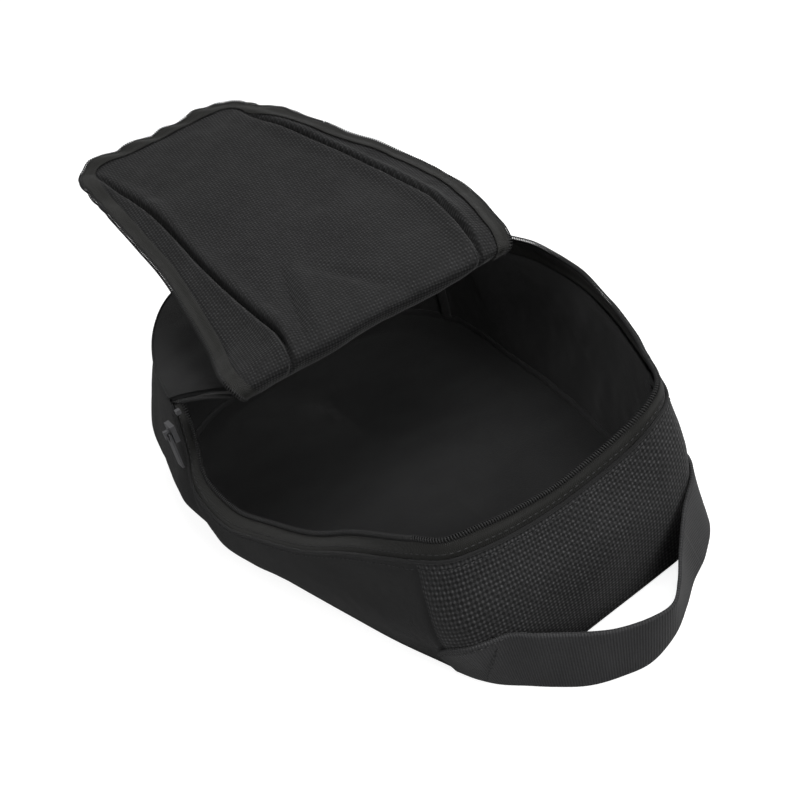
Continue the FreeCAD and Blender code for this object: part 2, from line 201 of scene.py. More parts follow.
# Each station round the bag, from the middle of the heel past the right side and the toe:
# the foot of the wall, the fullest point half way up, and the sewn top edge.
stations = [
    ((185, 0, 1), (192, 0, 50), (185, 0, 92)),
    ((185, 38, 1), (191, 40, 52), (186, 38, 95)),
    ((184, 60, 1), (188, 62, 54), (186, 60, 101)),
    ((177, 74, 1), (181, 79, 55), (178, 77, 103)),
    ((160, 82, 1), (163, 89, 55), (158, 88, 102)),
    ((130, 87, 1), (133, 98, 55), (127, 102, 98)),
    ((85, 98, 1), (87, 112, 54), (86, 118, 94)),
    ((40, 106, 1), (40, 121, 52), (44, 129, 92)),
    ((0, 111, 1), (-2, 124, 50), (0, 131, 93)),
    ((-36, 114, 1), (-37, 124, 50), (-36, 125, 94)),
    ((-60, 116, 1), (-60, 123, 50), (-58, 119, 101)),
    ((-84, 118, 1), (-84, 123, 50), (-78, 115, 108)),
    ((-118, 116, 1), (-118, 121, 52), (-112, 108, 111)),
    ((-155, 100, 1), (-158, 101, 54), (-149, 87, 112)),
    ((-178, 66, 1), (-183, 65, 54), (-174, 55, 112)),
    ((-185, 22, 1), (-190, 22, 54), (-184, 20, 112)),
    ((-186, -24, 1), (-191, -24, 54), (-184, -22, 112)),
    ((-180, -68, 1), (-184, -66, 52), (-174, -56, 112)),
    ((-156, -101, 1), (-158, -101, 50), (-146, -82, 112)),
    ((-118, -117, 1), (-120, -119, 46), (-107, -101, 110)),
    ((-84, -121, 1), (-86, -127, 40), (-70, -110, 105)),
    ((-62, -120, 1), (-62, -125, 34), (-61, -117, 78)),
    ((-40, -118, 1), (-40, -130, 28), (-45, -127, 58)),
    ((-8, -114, 1), (-8, -128, 27), (-8, -128, 52)),
    ((25, -108, 1), (27, -121, 28), (25, -121, 56)),
    ((66, -100, 1), (68, -113, 34), (68, -111, 66)),
    ((105, -92, 1), (107, -103, 42), (107, -99, 80)),
    ((139, -83, 1), (143, -94, 48), (142, -91, 93)),
    ((161, -77, 1), (167, -90, 46), (165, -85, 101)),
    ((178, -68, 1), (184, -79, 50), (181, -74, 103)),
    ((185, -55, 1), (190, -58, 52), (186, -54, 100)),
    ((185, -30, 1), (191, -32, 50), (186, -30, 95)),
]


def spline(knots, values, places):
    """Smooth curve through values at knots, read at places."""
    knots = np.asarray(knots, float)
    values = np.asarray(values, float)
    slopes = np.gradient(values, knots, axis=0)
    i = np.clip(np.searchsorted(knots, places, side="right") - 1, 0, len(knots) - 2)
    shape = (-1,) + (1,) * (values.ndim - 1)
    step = (knots[i + 1] - knots[i]).reshape(shape)
    t = ((places - knots[i])).reshape(shape) / step
    start = values[i] * (2 * t ** 3 - 3 * t ** 2 + 1) + slopes[i] * step * (t ** 3 - 2 * t ** 2 + t)
    return start + values[i + 1] * (3 * t ** 2 - 2 * t ** 3) + slopes[i + 1] * step * (t ** 3 - t ** 2)


def round_the_bag(values, places):
    """Closed curve through one value for each station, read at station numbers."""
    values = np.asarray(values, float)
    count = len(values)
    wrapped = np.concatenate([values[-3:], values, values[:4]])
    return spline(np.arange(-3, count + 4), wrapped, places)


def normals_of(grid):
    """Unit normals of a grid of points."""
    across = np.gradient(grid, axis=1)
    along = np.gradient(grid, axis=0)
    normal = np.cross(across, along)
    return normal / np.maximum(np.linalg.norm(normal, axis=2, keepdims=True), 1e-9)


def ripple(grid, wavelength, seed):
    """Soft random value from -1 to 1 at each point of a grid."""
    shift = Vector((seed * 17.3, seed * 5.1, seed * 9.7))
    flat = [noise.noise(Vector(p) / wavelength + shift) for p in grid.reshape(-1, 3)]
    return np.array(flat).reshape(grid.shape[:-1])


def lengths_along(grid, axis):
    """Running length of a grid's middle line along one axis, in metres."""
    line = grid[:, grid.shape[1] // 2] if axis == 0 else grid[grid.shape[0] // 2]
    steps = np.linalg.norm(np.diff(line, axis=0), axis=1)
    return np.concatenate([[0.0], np.cumsum(steps)]) * millimetre


def mesh_from_grid(name, grid, material, skin=0.0, flip=False, cut=None):
    """Cloth piece from a grid of points in millimetres, with its weave laid out in metres."""
    rows, columns = grid.shape[:2]
    vertices = (grid.reshape(-1, 3) * millimetre).tolist()
    faces = []
    for r in range(rows - 1):
        for c in range(columns - 1):
            a = r * columns + c
            quad = (a, a + 1, a + columns + 1, a + columns)
            faces.append(quad[::-1] if flip else quad)
    mesh = bpy.data.meshes.new(name)
    mesh.from_pydata(vertices, [], faces)
    layer = mesh.uv_layers.new(name="weave")
    u = lengths_along(grid, 1)
    v = lengths_along(grid, 0)
    for loop in mesh.loops:
        r, c = divmod(loop.vertex_index, columns)
        layer.data[loop.index].uv = (u[c], v[r]) if cut is None else tuple(cut[r, c] * millimetre)
    mesh.polygons.foreach_set("use_smooth", [True] * len(mesh.polygons))
    mesh.materials.append(material)
    piece = bpy.data.objects.new(name, mesh)
    bpy.context.collection.objects.link(piece)
    if skin:
        thicken = piece.modifiers.new("cloth thickness", "SOLIDIFY")
        thicken.thickness = skin * millimetre
        thicken.offset = -1.0
        thicken.use_rim = False
    return piece


def weave_threads(tree):
    """The two directions of a cloth's weave, in metres, and its place in the bag."""
    cloth = tree.node("ShaderNodeUVMap", {"uv_map": "weave"})
    u = tree.node("ShaderNodeSeparateXYZ", output=0, Vector=cloth)
    v = tree.node("ShaderNodeSeparateXYZ", output=1, Vector=cloth)
    place = tree.node("ShaderNodeTexCoord", output=3)
    return u, v, place


def cloth_finish(name, dark, light, dot_pitch=0.0, dot_turn=0.0, dot_lift=1.0, roughness=0.78, sheen=0.10):
    """Black cloth: fine threads and slow mottling, with raised dots in staggered rows on a dobby cloth."""
    material, tree, shader = new_material(name)
    u, v, place = weave_threads(tree)
    mottle = tree.node("ShaderNodeTexNoise", Vector=place, Scale=28.0, Detail=4.0)
    speck = tree.node("ShaderNodeTexNoise", Vector=place, Scale=900.0, Detail=2.0)
    threads = (u * (math.tau / thread_pitch)).sine() * (v * (math.tau / thread_pitch)).sine()
    height = threads * 0.35 + speck * 0.6
    if dot_pitch:
        wave = math.tau / dot_pitch
        c, s = math.cos(dot_turn), math.sin(dot_turn)
        p = (u * c + v * s) * wave
        q = (v * c - u * s) * wave
        dots = (p.sine() * q.sine()).between(0.25, 0.92)
        patchy = tree.node("ShaderNodeTexNoise", Vector=place, Scale=330.0, Detail=1.0)
        bright = dots * patchy.between(0.30, 0.72)
        mesh = (p.sine() * q.sine()).between(-0.75, 0.55)
        rows = (p.sine() * 0.5 + 0.5) * 0.16
        height = height * 0.4 + dots * dot_lift + mesh * 0.5
        tone = bright * 0.62 + mesh * 0.26 + rows + mottle * 0.22 + speck * 0.26 - 0.31
    else:
        tone = mottle * 0.75 + speck * 0.45 + threads * 0.08 - 0.15
    plug(tone.tint(dark, light), shader, "Base Color")
    plug(roughness - mottle * 0.12, shader, "Roughness")
    bump = tree.node("ShaderNodeBump", Height=height, Distance=0.0004, Strength=0.55)
    plug(bump, shader, "Normal")
    shader.inputs["Sheen Weight"].default_value = sheen
    shader.inputs["Sheen Roughness"].default_value = 0.45
    shader.inputs["Specular IOR Level"].default_value = 0.25
    return material


plain_cloth = cloth_finish("plain_cloth", (0.006, 0.006, 0.0062, 1), (0.017, 0.017, 0.0174, 1))
heel_cloth = cloth_finish("heel_cloth", (0.0045, 0.0045, 0.0047, 1), (0.085, 0.085, 0.087, 1),
                          dot_pitch=0.0034, dot_turn=math.radians(45))

count = len(stations)
wall_columns, wall_rows = 641, 46
fullest_level = 0.52
wall_places = np.linspace(0, count, wall_columns)
levels = np.array(stations, float)
rings = np.stack([round_the_bag(levels[:, k], wall_places) for k in range(3)])
wall = spline([0.0, fullest_level, 1.0], rings, np.linspace(0, 1, wall_rows))
wall_up = np.linspace(0, 1, wall_rows)[:, None]
wall_normal = normals_of(wall)


def hump(x, centre, width):
    return np.exp(-((x - centre) / width) ** 2)


# Soft folds: a slack hollow along the slumped left wall, drag lines to the zip corner and the toe's
# upright folds. Each is a hump round a station; wall_up runs from 0 at the foot to 1 at the sewn top.
station = wall_places[None, :]
fold = 2.6 * ripple(wall, 70.0, 1) + 1.3 * ripple(wall, 30.0, 2) + 0.35 * ripple(wall, 11.0, 3)
fold += 3.2 * hump(station, 18.4, 0.35) * np.sin(wall_up * math.pi) ** 0.7
fold -= 3.0 * hump(station, 17.8, 0.25) * np.sin(wall_up * math.pi) ** 0.7
fold += 2.2 * hump(station, 15.2, 0.4) - 2.4 * hump(station, 14.4, 0.3)
fold -= 4.0 * hump(station - 3.2 * (1 - wall_up), 20.6, 0.5) * np.clip(wall_up * 1.4, 0, 1)
fold += 3.0 * hump(station - 2.0 * (1 - wall_up), 21.8, 0.5) * wall_up
fold *= np.sin(np.clip(wall_up * 1.08, 0, 1) * math.pi) ** 0.35
seam_stations = [heel_seam, toe_seam_right, toe_seam_left, heel_seam_left]
pucker = sum(hump(station, s, 0.12) for s in seam_stations)
fold -= 1.6 * pucker * np.sin(np.clip(wall_up, 0, 1) * math.pi) ** 0.3
wall = wall + wall_normal * fold[:, :, None]
wall[:, -1] = wall[:, 0]
wall_normal = normals_of(wall)


def strip(first, last):
    """Columns of the wall between two stations; the heel strip runs through the closing column."""
    if first < last:
        keep = np.where((wall_places >= first - 1e-6) & (wall_places <= last + 1e-6))[0]
    else:
        tail = np.where(wall_places >= first - 1e-6)[0][:-1]
        keep = np.concatenate([tail, np.where(wall_places <= last + 1e-6)[0]])
    return keep


panels = {
    "heel_panel": (heel_seam_left, heel_seam, heel_cloth),
    "side_panel_right": (heel_seam, toe_seam_right, plain_cloth),
    "toe_panel": (toe_seam_right, toe_seam_left, plain_cloth),
    "side_panel_left": (toe_seam_left, heel_seam_left, plain_cloth),
}
for name, (first, last, cloth) in panels.items():
    columns = strip(first, last)
    panel = mesh_from_grid(name + "_cloth", wall[:, columns], cloth, shell_skin)
    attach(panel, "bag")
    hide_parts(name)

# Top zip of the bag: a woven tape sewn to the top edge and a nylon coil along the tape's free edge.
# The tape stands up at the heel and the right, leans in on the slumped left wall and turns up at the
# low corners. For each station: how far the tape's free edge lies from the seam along x, y and z.
tape_offsets = {
    20: (9, 4, 3), 21: (9, 5, 5), 22: (6, 8, 8), 23: (0, 10, 5), 24: (0, 10, 5), 25: (0, 9, 6),
    26: (-1, 8, 8), 27: (-2, 5, 10), 28: (-2, 4, 11), 29: (-2, 2, 11), 30: (-2, 1, 12), 31: (-1.5, 0, 12),
    0: (-1.5, 0, 11), 1: (-1.5, 0, 12), 2: (-2, 0, 11), 3: (-1, -2, 12), 4: (-1, -2, 12), 5: (-1, -1, 12),
    6: (-1, -1, 12), 7: (0, -1, 13), 8: (0, -1, 13), 9: (1, -2, 12), 10: (6, -3, 9), 11: (9, -4, 5),
}
inside_the_toe = (0, 0, 5)
tape_leans = np.array([tape_offsets.get(i, inside_the_toe) for i in range(count)], float)


def tube(name, path, normals, section, material):
    """Closed section swept along a path; the section's two directions follow the normals."""
    path = np.asarray(path, float)
    tangent = np.gradient(path, axis=0)
    tangent /= np.maximum(np.linalg.norm(tangent, axis=1, keepdims=True), 1e-9)
    normals = normals - tangent * np.sum(normals * tangent, axis=1, keepdims=True)
    normals = normals / np.maximum(np.linalg.norm(normals, axis=1, keepdims=True), 1e-9)
    sideways = np.cross(tangent, normals)
    section = np.asarray(section, float)
    rings = (path[:, None, :] + normals[:, None, :] * section[None, :, :1]
             + sideways[:, None, :] * section[None, :, 1:])
    rows, sides = rings.shape[:2]
    vertices = (rings.reshape(-1, 3) * millimetre).tolist()
    faces = []
    for r in range(rows - 1):
        for c in range(sides):
            low, high, beside = r * sides, (r + 1) * sides, (c + 1) % sides
            faces.append((low + c, low + beside, high + beside, high + c))
    faces += [tuple(range(sides))[::-1], tuple(range((rows - 1) * sides, rows * sides))]
    mesh = bpy.data.meshes.new(name)
    mesh.from_pydata(vertices, [], faces)
    layer = mesh.uv_layers.new(name="weave")
    along = np.concatenate([[0.0], np.cumsum(np.linalg.norm(np.diff(path, axis=0), axis=1))]) * millimetre
    around = np.concatenate([[0.0], np.cumsum(np.linalg.norm(np.diff(section, axis=0), axis=1))]) * millimetre
    for loop in mesh.loops:
        r, c = divmod(loop.vertex_index, sides)
        layer.data[loop.index].uv = (along[r], around[c])
    mesh.polygons.foreach_set("use_smooth", [True] * len(mesh.polygons))
    mesh.materials.append(material)
    piece = bpy.data.objects.new(name, mesh)
    bpy.context.collection.objects.link(piece)
    return piece


def oval(half_thick, half_wide, sides=8):
    """Closed oval section, thickness first."""
    turns = np.linspace(0, math.tau, sides, endpoint=False)
    return np.stack([half_thick * np.cos(turns), half_wide * np.sin(turns)], axis=1)


def evenly(path, normals, step):
    """A path and its normals read again every step millimetres."""
    run = np.concatenate([[0.0], np.cumsum(np.linalg.norm(np.diff(path, axis=0), axis=1))])
    places = np.linspace(0, run[-1], max(int(run[-1] / step), 2) + 1)
    centre, out = [np.stack([np.interp(places, run, values[:, k]) for k in range(3)], axis=1)
                   for values in (path, normals)]
    return centre, out, places


def coil(name, path, normals, material, half_thick=1.3, half_wide=1.4, pitch=1.5, wire=0.42):
    """Nylon zip coil: one wire wound along the edge of a tape."""
    centre, normals, run = evenly(path, normals, pitch / 8)
    tangent = np.gradient(centre, axis=0)
    tangent /= np.maximum(np.linalg.norm(tangent, axis=1, keepdims=True), 1e-9)
    normals = normals - tangent * np.sum(normals * tangent, axis=1, keepdims=True)
    normals = normals / np.maximum(np.linalg.norm(normals, axis=1, keepdims=True), 1e-9)
    sideways = np.cross(tangent, normals)
    turn = (run / pitch * math.tau)[:, None]
    around = normals * np.cos(turn) * half_thick + sideways * np.sin(turn) * half_wide
    return tube(name, centre + around, around, oval(wire, wire, 5), material)


def stitches(name, path, normals, material, length=2.6, gap=1.3, radius=0.28):
    """Row of separate stitches lying along a path, each a thin spindle that swells in the middle."""
    swell = (0.25, 0.9, 1.0, 0.9, 0.25)
    rings = len(swell)
    sides = 6
    spread = 1.3
    centre, normals, run = evenly(path, normals, (length + gap) / (rings + 1))
    vertices, faces = [], []
    for first in range(0, len(centre) - rings, rings + 1):
        points = centre[first:first + rings]
        lift = normals[first] / max(np.linalg.norm(normals[first]), 1e-9)
        along = points[-1] - points[0]
        side = np.cross(along / max(np.linalg.norm(along), 1e-9), lift)
        start = len(vertices)
        for point, size in zip(points, swell):
            for k in range(sides):
                turn = k * math.tau / sides
                offset = (lift * math.cos(turn) + side * math.sin(turn) * spread) * radius * size
                vertices.append(tuple((point + lift * 0.05 + offset) * millimetre))
        for r in range(rings - 1):
            for k in range(sides):
                low, high, beside = start + r * sides, start + (r + 1) * sides, (k + 1) % sides
                faces.append((low + k, low + beside, high + beside, high + k))
        end = start + (rings - 1) * sides
        faces += [tuple(range(start, start + sides))[::-1], tuple(range(end, end + sides))]
    mesh = bpy.data.meshes.new(name)
    mesh.from_pydata(vertices, [], faces)
    mesh.polygons.foreach_set("use_smooth", [True] * len(mesh.polygons))
    mesh.materials.append(material)
    piece = bpy.data.objects.new(name, mesh)
    bpy.context.collection.objects.link(piece)
    return piece


def ribbed_finish(name, dark, light, rib_pitch, rib_lift=1.0, herringbone=0.0):
    """Woven band such as zip tape, webbing or binding: ribs, their slant and slow wear."""
    herringbone_width, yarn_pitch = 0.0065, 0.0008
    material, tree, shader = new_material(name)
    u, v, place = weave_threads(tree)
    slant = (v * (math.tau / herringbone_width)).sine() * herringbone if herringbone else 0.0
    ribs = ((u + slant) * (math.tau / rib_pitch)).sine() * 0.5 + 0.5
    fine = (v * (math.tau / yarn_pitch)).sine() * 0.5 + 0.5
    mottle = tree.node("ShaderNodeTexNoise", Vector=place, Scale=60.0, Detail=4.0)
    speck = tree.node("ShaderNodeTexNoise", Vector=place, Scale=1100.0, Detail=2.0)
    tone = ribs * 0.40 + fine * 0.12 + mottle * 0.35 + speck * 0.7 - 0.38
    plug(tone.tint(dark, light), shader, "Base Color")
    plug(0.62 - ribs * 0.1, shader, "Roughness")
    height = ribs * rib_lift + fine * 0.25 + speck * 0.3
    plug(tree.node("ShaderNodeBump", Height=height, Distance=0.0003, Strength=0.6), shader, "Normal")
    shader.inputs["Sheen Weight"].default_value = 0.1
    shader.inputs["Specular IOR Level"].default_value = 0.3
    return material


def nylon_finish(name, dark, light, roughness=0.4, speckle=500.0):
    """Smooth dark thread, nylon or painted metal with fine uneven gloss."""
    material, tree, shader = new_material(name)
    place = tree.node("ShaderNodeTexCoord", output=3)
    speck = tree.node("ShaderNodeTexNoise", Vector=place, Scale=speckle, Detail=3.0)
    wear = tree.node("ShaderNodeTexNoise", Vector=place, Scale=70.0, Detail=3.0)
    plug((speck * 0.5 + wear * 0.5).tint(dark, light), shader, "Base Color")
    plug(roughness + speck * 0.12, shader, "Roughness")
    plug(tree.node("ShaderNodeBump", Height=speck, Distance=0.00008, Strength=0.4), shader, "Normal")
    return material


zip_tape_cloth = ribbed_finish("zip_tape_cloth", (0.0035, 0.0035, 0.0030, 1), (0.013, 0.0128, 0.0106, 1),
                               0.0011, herringbone=0.0007)
coil_nylon = nylon_finish("coil_nylon", (0.005, 0.005, 0.005, 1), (0.013, 0.013, 0.0135, 1), roughness=0.55)
thread_black = nylon_finish("thread_black", (0.010, 0.010, 0.0105, 1), (0.030, 0.030, 0.031, 1),
                            roughness=0.5)

seam_line = wall[-1]
seam_out = wall_normal[-1]
free_edge = seam_line + round_the_bag(tape_leans, wall_places)
zip_columns = strip(left_zip_corner, right_zip_corner + 1)
across = np.linspace(-0.18, 1, 12)[:, None, None]
tape_grid = seam_line[None, zip_columns] * (1 - across) + free_edge[None, zip_columns] * across
tape_grid = tape_grid - seam_out[None, zip_columns] * (1.5 - 1.3 * np.sin(np.clip(across, 0, 1) * math.pi))
tape_up = normals_of(tape_grid)
tape_wave = 0.7 * ripple(tape_grid, 22.0, 5) * np.clip(across[:, :, 0], 0, 1)
tape_grid = tape_grid + tape_up * tape_wave[:, :, None]
rim_tape = mesh_from_grid("rim_zip_tape_cloth", tape_grid, zip_tape_cloth, 0.8)
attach(rim_tape, "bag")
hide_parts("rim_zip_tape")

rim_coil = coil("rim_zip_coil_nylon", tape_grid[-1] + tape_up[-1] * 0.4, tape_up[-1], coil_nylon)
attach(rim_coil, "bag")
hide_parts("rim_zip_coil")

seam_fold = tube("rim_seam_fold", seam_line[zip_columns] - seam_out[zip_columns] * 0.3, seam_out[zip_columns],
                 oval(0.9, 1.1), plain_cloth)
stitch_line = wall[-3] + wall_normal[-3] * 0.1
rim_stitches = stitches("rim_topstitch", stitch_line[zip_columns], wall_normal[-3][zip_columns], thread_black)
tape_stitches = stitches("rim_tape_stitch", tape_grid[5] + tape_up[5] * 0.15, tape_up[5], thread_black)
for piece in (seam_fold, rim_stitches, tape_stitches):
    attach(piece, "bag")

# Lining of the walls: thin matt black polyester hanging loose inside the shell, sewn in with it at the
# top edge. One piece behind each outer panel, with bound seams at the heel and toe corners.
lining_gap = 3.6
lining_low = 3
lining_cloth = cloth_finish("lining_cloth", (0.006, 0.006, 0.0062, 1), (0.018, 0.018, 0.0185, 1),
                            roughness=0.7, sheen=0.15)
binding_cloth = ribbed_finish("binding_cloth", (0.007, 0.007, 0.0072, 1), (0.022, 0.022, 0.0225, 1), 0.0010)
hang = lining_gap + 1.4 * (1 + ripple(wall, 45.0, 7)) * np.sin(wall_up * math.pi) ** 0.4
inner = wall - wall_normal * hang[:, :, None]
inner = inner - wall_normal * (0.5 * ripple(wall, 13.0, 8) * np.sin(wall_up * math.pi))[:, :, None]
inner[:, -1] = inner[:, 0]
inner_normal = normals_of(inner)
linings = {
    "heel_lining": (heel_seam_left, heel_seam),
    "side_lining_right": (heel_seam, toe_seam_right),
    "toe_lining": (toe_seam_right, toe_seam_left),
    "side_lining_left": (toe_seam_left, heel_seam_left),
}
for name, (first, last) in linings.items():
    cloth = mesh_from_grid(name + "_cloth", inner[lining_low:, strip(first, last)], lining_cloth, 0.6)
    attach(cloth, "bag")
    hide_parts(name)

upright_seams = {
    "seam_tape_heel": (heel_seam, heel_seam_left),
    "seam_tape_toe": (toe_seam_right, toe_seam_left),
}
for name, pair in upright_seams.items():
    for side, seam in zip(("right", "left"), pair):
        column = int(np.argmin(np.abs(wall_places - seam)))
        seam_normal = inner_normal[lining_low:-2, column]
        line = inner[lining_low:-2, column] - seam_normal * 0.9
        bound = tube(f"{name}_{side}", line, seam_normal, oval(0.8, 4.6, 10), binding_cloth)
        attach(bound, "bag")
        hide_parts(name)

# Base: a black bottom cloth, a stiff board and a soft lining over it.
# A binding covers the seam to the walls.
foot = wall[0]
foot_inner = inner[lining_low].copy()
foot_inner[:, 2] = 0


def filled_ring(ring, spine, rows, heights):
    """Surface from a closed ring inwards to its spine, with a height for each row."""
    t = np.linspace(0, 1, rows)[:, None, None]
    middle = ring * np.array([spine, 0.0, 0.0])
    grid = ring[None] * (1 - t) + middle[None] * t
    grid[:, :, 2] = heights[:, None]
    return grid


rows, board_rows = 26, 8
spine = 0.6
board_height, lining_height = 3.9, 6.2
bottom = filled_ring(foot, spine, rows, np.linspace(0, 1, rows) * 0)
bottom[:, :, 2] = 0.9 - 0.7 * np.clip(np.arange(rows) / 2, 0, 1)[:, None]
bottom_cloth = mesh_from_grid("base_panel_cloth", bottom[:, ::2], plain_cloth, 0.0, flip=True)
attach(bottom_cloth, "bag")
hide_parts("base_panel")

board_fibre = nylon_finish("board_fibre", (0.10, 0.095, 0.085, 1), (0.20, 0.19, 0.17, 1), roughness=0.85,
                           speckle=300.0)
board_edge = foot_inner - inner_normal[lining_low] * 2.0
board = filled_ring(board_edge, spine, board_rows, np.full(board_rows, board_height))[:, ::4]
stiff_board = mesh_from_grid("base_board_fibre", board, board_fibre, 2.0)
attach(stiff_board, "bag")
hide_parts("base_board")

floor_lining = filled_ring(foot_inner, spine, rows, np.full(rows, lining_height))[:, ::2]
flat_in = np.clip(np.arange(rows) / 4, 0, 1)[:, None]
floor_lining[:, :, 2] += 2.0 * (1 - flat_in) + (0.8 * ripple(floor_lining, 50.0, 11)
                                               + 0.3 * ripple(floor_lining, 18.0, 12)) * flat_in
floor_cloth = mesh_from_grid("base_lining_cloth", floor_lining, lining_cloth, 0.0)
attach(floor_cloth, "bag")
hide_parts("base_lining")

binding_line = foot_inner.copy()
binding_line[:, 2] = 8.5
binding_out = inner_normal[lining_low]
base_binding = tube("base_seam_binding_cloth", binding_line - binding_out * 1.0, binding_out,
                    oval(1.0, 4.0, 10), binding_cloth)
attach(base_binding, "bag")
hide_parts("base_seam_binding")

# Toe top: fixed black cloth from the toe walls to the fold of the lid, with a thin lining under it.
# Small gores at both ends of the fold close the corners where the lid's side folds begin.
fold_x = -20.0
fold_half = 68.0
toe_edge_from, toe_edge_to = right_zip_corner + 0.35, left_zip_corner - 0.1
toe_edge_columns = np.where((wall_places >= toe_edge_from) & (wall_places <= toe_edge_to))[0]
toe_edge = wall[-1][toe_edge_columns]
span = np.linspace(0, 1, len(toe_edge))
across_fold = fold_half - 2 * fold_half * span
front_line = np.stack([np.full_like(span, fold_x), across_fold, np.full_like(span, 114.5)], axis=1)
t = np.linspace(0, 1, 40)[:, None, None]
toe_top = toe_edge[None] * (1 - t) + front_line[None] * t
dome = np.sin(np.clip(t[:, :, 0], 0, 1) * math.pi) ** 0.8
toe_top[:, :, 2] += 4.0 * dome + (2.2 * ripple(toe_top, 48.0, 14) + 0.9 * ripple(toe_top, 20.0, 15)) * dome
toe_cloth = mesh_from_grid("toe_top_cloth", toe_top, plain_cloth, 1.0, flip=True)
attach(toe_cloth, "bag")
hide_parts("toe_top_panel")
toe_under = toe_top - np.array([0, 0, 2.4])
toe_lining = mesh_from_grid("toe_top_lining_cloth", toe_under[1:-1], lining_cloth, 0.4, flip=True)
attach(toe_lining, "bag")
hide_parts("toe_top_lining")

toe_seam = tube("toe_top_seam_fold", toe_edge + np.array([0, 0, 0.6]), wall_normal[-1][toe_edge_columns],
                oval(1.0, 1.2), plain_cloth)
straight_up = np.tile([0.0, 0.0, 1.0], (len(toe_edge), 1))
toe_stitches = stitches("toe_top_topstitch", toe_top[3] + np.array([0, 0, 0.3]), straight_up, thread_black)
for piece in (toe_seam, toe_stitches):
    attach(piece, "bag")

# Lid: dotted dobby cloth like the heel's but finer, thrown back over the toe, with its fold rolled in front.
# Zip tape and coil run round its edge; its two sides are soft folds, which on the real bag open out when the
# lid closes.
lid_cloth = cloth_finish("lid_cloth", (0.004, 0.004, 0.0042, 1), (0.041, 0.041, 0.042, 1), dot_pitch=0.0028,
                         dot_turn=math.radians(38), dot_lift=0.7)
profile = np.array([(-20, 114.6), (-9, 116), (0, 121.5), (4, 130), (-2, 138), (-16, 143), (-45, 150),
                    (-95, 163), (-150, 180), (-200, 193), (-233, 200)], float)
profile_run = np.concatenate([[0.0], np.cumsum(np.linalg.norm(np.diff(profile, axis=0), axis=1))])
roll_end = 5  # the profile point where the roll ends and the flat of the lid begins
lid_length = profile_run[-1]
lid_start = profile_run[roll_end]

# Across the lid, by distance beyond the roll: left edge, left crease, right crease, right edge
lid_widths = {
    -60: (-70, -60, 67, 78), -38: (-80, -54, 76, 94), -18: (-88, -48, 83, 105), 0: (-87, -45, 90, 112),
    32: (-80, -46, 94, 119), 60: (-75, -47, 91, 117), 96: (-70, -47, 84, 109), 135: (-69, -46, 73, 91),
    172: (-68, -49, 62, 77), 200: (-66, -54, 54, 64), 222: (-62, -58, 50, 58), 245: (-60, -58, 48, 54),
}
width_places = lid_start + np.array(list(lid_widths))
width_table = np.array(list(lid_widths.values()), float)

end_slant = 0.16
corner_radius = 22.0
tape_band = 9.0
edge_cover = 3.0


def lid_widths_at(run):
    """Left edge, left crease, right crease and right edge at each distance along the lid."""
    return np.moveaxis(spline(width_places, width_table, run.reshape(-1)).reshape(run.shape + (4,)), -1, 0)


def lid_form(run, y):
    """Lid without creases and wrinkles, bent across, with its roll further forward at the right."""
    outwards = np.clip((run - lid_start) / (lid_length - lid_start), 0, 1)
    slanted = run - end_slant * np.maximum(y + 60, 0) * outwards ** 2
    base = spline(profile_run, profile, slanted.reshape(-1)).reshape(run.shape + (2,))
    left_edge, left, right, right_edge = lid_widths_at(run)
    rolled = np.exp(-((run - profile_run[3]) / 24.0) ** 2)
    beyond = run - lid_start
    flat = np.clip((run - profile_run[2]) / 60.0, 0, 1)
    side_fall = np.clip((170 - beyond) / 150.0, 0, 1) * flat
    fall = 0.10 * np.maximum(left + 6 - y, 0) ** 1.25 + 0.16 * np.maximum(y - right, 0) ** 1.3
    x = base[..., 0] + rolled * (y + 10) * 0.13
    z = base[..., 1] - 0.00030 * (y - 10) ** 2 * flat - fall * side_fall
    return np.stack([x, y, z], axis=-1)


def lid_at(run, y, drop=0.0):
    """Points of the finished lid surface and its normals, at a distance along it and a distance across."""
    form = lid_form(run, y)
    normal = np.cross(lid_form(run + 0.5, y) - form, lid_form(run, y + 0.5) - form)
    normal /= np.maximum(np.linalg.norm(normal, axis=-1, keepdims=True), 1e-9)
    normal = -normal
    left_edge, left, right, right_edge = lid_widths_at(run)
    beyond = run - lid_start
    taper = np.clip((215 - beyond) / 60.0, 0, 1) * np.clip((beyond + 34) / 30.0, 0, 1)
    relief = -9.5 * hump(y, left, 1.7) + 2.4 * hump(y, left + 4.5, 4.5) + 1.8 * hump(y, left - 4, 3.5)
    relief += -7.0 * hump(y, right, 1.8) + 2.6 * hump(y, right - 5, 5.5) + 1.4 * hump(y, right + 4, 3.0)
    relief *= taper
    relief += 2.6 * ripple(form, 60.0, 21) + 1.2 * ripple(form, 26.0, 22) + 0.35 * ripple(form, 9.0, 23)
    relief -= 3.6 * hump(y - (-30 + 0.35 * beyond), 0, 3.5) * hump(beyond, 18, 28)
    relief += 2.6 * hump(y - (-19 + 0.35 * beyond), 0, 5.5) * hump(beyond, 18, 28)
    relief -= 2.2 * hump(y - (20 - 0.5 * beyond), 0, 6.0) * hump(beyond, 10, 30)
    edge = np.minimum(np.minimum(y - left_edge, right_edge - y), lid_length - run)
    puckers = np.sin(run / 5.5 + y / 5.0 + 2.0 * np.sin(y / 23.0)) * np.clip((beyond - 120) / 60.0, 0, 1)
    relief += 1.3 * hump(edge, 1, 6.0) * puckers
    return form + normal * (relief - drop)[..., None], normal


